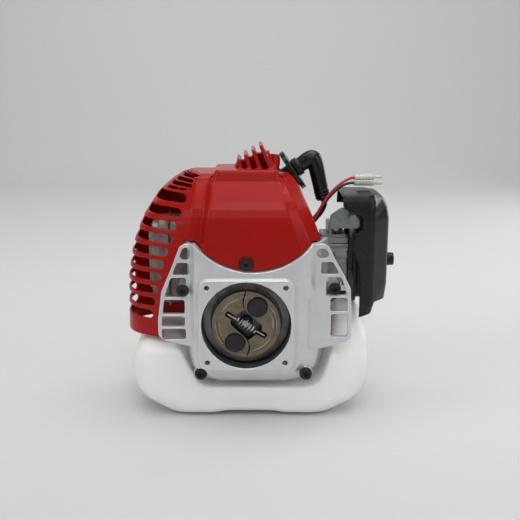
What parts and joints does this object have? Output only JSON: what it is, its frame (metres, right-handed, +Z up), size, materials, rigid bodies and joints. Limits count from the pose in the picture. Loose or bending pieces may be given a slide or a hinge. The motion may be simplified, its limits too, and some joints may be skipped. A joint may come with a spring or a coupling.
{
  "type": "small two-stroke petrol engine",
  "caption": "Small air-cooled two-stroke petrol engine with a bell flange, centrifugal clutch, slotted red shroud, under-slung fuel tank, side air cleaner and recoil starter.",
  "frame": {"origin": "under the middle of the whole engine's box, on the plane its tank stands on", "axes": "+X to the right as seen from the output flange, +Y from the flange back to the recoil starter, +Z up; the crankshaft runs along Y"},
  "size_m": [0.312, 0.185, 0.31],
  "materials": {
    "fan_housing": "satin silver paint over die-cast aluminium",
    "crankcase_front": "die-cast",
    "crankcase_rear": "die-cast",
    "front_main_bearing": "ground",
    "rear_main_bearing": "ground",
    "crankshaft_front": "ground",
    "crankshaft_rear": "ground",
    "flywheel": "die-cast",
    "flywheel_nut": "black oxide",
    "clutch_shoe_a": "sintered, matt bronze tint",
    "clutch_shoe_b": "sintered, matt bronze tint",
    "clutch_bolt_a": "ground",
    "clutch_bolt_b": "ground",
    "clutch_spring": "black oxide",
    "cylinder": "die-cast",
    "piston": "die-cast",
    "piston_ring": "black oxide",
    "piston_pin": "ground",
    "connecting_rod": "ground",
    "crankpin": "ground",
    "spark_plug": "ground",
    "spark_plug_boot": "moulded",
    "plug_sealing_disc": "moulded",
    "ignition_coil": "moulded, fine grain",
    "ignition_lead": "moulded",
    "engine_cover": "moulded, glossy",
    "engine_cover_screw": "black oxide",
    "wing_bolt_left": "black oxide",
    "wing_bolt_right": "black oxide",
    "ear_bolt_left": "black oxide",
    "ear_bolt_right": "black oxide",
    "muffler": "heat-darkened",
    "intake_insulator": "moulded, fine grain",
    "carburettor_body": "zinc die-cast",
    "carburettor_cover": "zinc plated",
    "primer_bulb": "clear rubber",
    "throttle_lever": "zinc plated",
    "throttle_bracket": "zinc plated",
    "air_filter_base": "moulded, fine grain",
    "air_filter_element": "open-cell foam",
    "air_filter_cover": "moulded, fine grain",
    "air_filter_knob": "moulded, fine grain",
    "choke_lever": "moulded, fine grain",
    "fuel_tank": "blow-moulded, translucent",
    "fuel_cap_seal": "moulded",
    "fuel_cap": "moulded, fine grain",
    "hose_grommet": "moulded",
    "fuel_hose": "moulded",
    "recoil_housing": "moulded, fine grain",
    "starter_cup": "black oxide",
    "recoil_reel": "moulded, fine grain",
    "starter_pawl": "ground",
    "recoil_spring": "ground",
    "rope_coil": "braided",
    "rope_end": "braided",
    "starter_handle": "moulded",
    "red_wire": "insulated lead",
    "black_wire": "insulated lead",
    "red_connector": "clear sleeve",
    "black_connector": "clear sleeve"
  },
  "bodies": {
    "engine": {"fan_housing": "fan_housing", "crankcase_front": "crankcase_front", "crankcase_rear": "crankcase_rear", "front_main_bearing": "front_main_bearing", "rear_main_bearing": "rear_main_bearing", "cylinder": "cylinder", "spark_plug": "spark_plug", "spark_plug_boot": "spark_plug_boot", "plug_sealing_disc": "plug_sealing_disc", "ignition_coil": "ignition_coil", "ignition_lead": "ignition_lead", "engine_cover": "engine_cover", "engine_cover_screw": "engine_cover_screw", "wing_bolt_left": "wing_bolt_left", "wing_bolt_right": "wing_bolt_right", "ear_bolt_left": "ear_bolt_left", "ear_bolt_right": "ear_bolt_right", "muffler": "muffler", "intake_insulator": "intake_insulator", "carburettor_body": "carburettor_body", "carburettor_cover": "carburettor_cover", "throttle_bracket": "throttle_bracket", "air_filter_base": "air_filter_base", "air_filter_element": "air_filter_element", "fuel_tank": "fuel_tank", "hose_grommet": "hose_grommet", "fuel_hose": "fuel_hose", "recoil_housing": "recoil_housing", "recoil_spring": "recoil_spring", "red_wire": "red_wire", "black_wire": "black_wire", "red_connector": "red_connector", "black_connector": "black_connector"},
    "crank": {"crankshaft_front": "crankshaft_front", "crankshaft_rear": "crankshaft_rear", "flywheel": "flywheel", "flywheel_nut": "flywheel_nut", "clutch_bolt_a": "clutch_bolt_a", "clutch_bolt_b": "clutch_bolt_b", "clutch_spring": "clutch_spring", "starter_cup": "starter_cup"},
    "shoe_a": {"clutch_shoe_a": "clutch_shoe_a"},
    "shoe_b": {"clutch_shoe_b": "clutch_shoe_b"},
    "reciprocating": {"piston": "piston", "piston_ring": "piston_ring", "piston_pin": "piston_pin", "connecting_rod": "connecting_rod", "crankpin": "crankpin"},
    "throttle": {"throttle_lever": "throttle_lever"},
    "choke": {"choke_lever": "choke_lever"},
    "primer": {"primer_bulb": "primer_bulb"},
    "cap_seal": {"fuel_cap_seal": "fuel_cap_seal"},
    "cap": {"fuel_cap": "fuel_cap"},
    "filter_cover": {"air_filter_cover": "air_filter_cover"},
    "filter_knob": {"air_filter_knob": "air_filter_knob"},
    "reel": {"recoil_reel": "recoil_reel", "rope_coil": "rope_coil"},
    "pawl": {"starter_pawl": "starter_pawl"},
    "handle": {"starter_handle": "starter_handle", "rope_end": "rope_end"}
  },
  "joints": [
    {"name": "crank_spin", "type": "hinge", "parent": "engine", "child": "crank", "pos_m": [-0.016, -0.0525, 0.118], "axis": [0, 1, 0], "continuous": true},
    {"name": "clutch_shoe_a_swing", "type": "hinge", "parent": "crank", "child": "shoe_a", "pos_m": [-0.0037, -0.0815, 0.1385], "axis": [0, -1, 0], "range_deg": [0, 2.5], "stiffness_Nm_per_rad": 20, "springref_deg": -5.73},
    {"name": "clutch_shoe_b_swing", "type": "hinge", "parent": "crank", "child": "shoe_b", "pos_m": [-0.0283, -0.0815, 0.0975], "axis": [0, -1, 0], "range_deg": [0, 2.5], "stiffness_Nm_per_rad": 20, "springref_deg": -5.73},
    {"name": "piston_stroke", "type": "slide", "parent": "engine", "child": "reciprocating", "axis": [0, 0, 1], "range_m": [-0.034, 0]},
    {"name": "throttle_turn", "type": "hinge", "parent": "engine", "child": "throttle", "pos_m": [0.088, -0.0085, 0.2], "axis": [0, 0, 1], "range_deg": [0, 50], "stiffness_Nm_per_rad": 0.05, "springref_deg": -11.46},
    {"name": "choke_turn", "type": "hinge", "parent": "engine", "child": "choke", "pos_m": [0.095, 0.0015, 0.21], "axis": [0, 0, 1], "range_deg": [0, 50]},
    {"name": "primer_press", "type": "slide", "parent": "engine", "child": "primer", "axis": [0, 0, 1], "range_m": [0, 0.0035], "stiffness_N_per_m": 1500, "springref_m": -0.0005},
    {"name": "cap_lift", "type": "slide", "parent": "engine", "child": "cap_seal", "axis": [0, 1, 0], "range_m": [0, 0.012]},
    {"name": "cap_turn", "type": "hinge", "parent": "cap_seal", "child": "cap", "pos_m": [-0.114, 0.0775, 0.056], "axis": [0, 1, 0], "range_deg": [0, 865]},
    {"name": "filter_cover_slide", "type": "slide", "parent": "engine", "child": "filter_cover", "axis": [1, 0, 0], "range_m": [0, 0.06]},
    {"name": "filter_knob_turn", "type": "hinge", "parent": "filter_cover", "child": "filter_knob", "pos_m": [0.144, -0.0025, 0.172], "axis": [1, 0, 0], "continuous": true},
    {"name": "reel_spin", "type": "hinge", "parent": "engine", "child": "reel", "pos_m": [-0.016, 0.0525, 0.118], "axis": [0, 1, 0], "range_deg": [0, 1800], "stiffness_Nm_per_rad": 0.012, "springref_deg": -1145.92},
    {"name": "pawl_swing", "type": "hinge", "parent": "reel", "child": "pawl", "pos_m": [-0.004, 0.0415, 0.118], "axis": [0, 1, 0], "range_deg": [0, 20], "stiffness_Nm_per_rad": 0.01, "springref_deg": -11.46},
    {"name": "starter_pull", "type": "slide", "parent": "engine", "child": "handle", "axis": [0, 0, 1], "range_m": [0, 0.69]}
  ],
  "couplings": [
    {"joint": "reel_spin", "follows": "starter_pull", "rad_per_m": 45.455},
    {"joint": "cap_turn", "follows": "cap_lift", "rad_per_m": 1256.6}
  ]
}
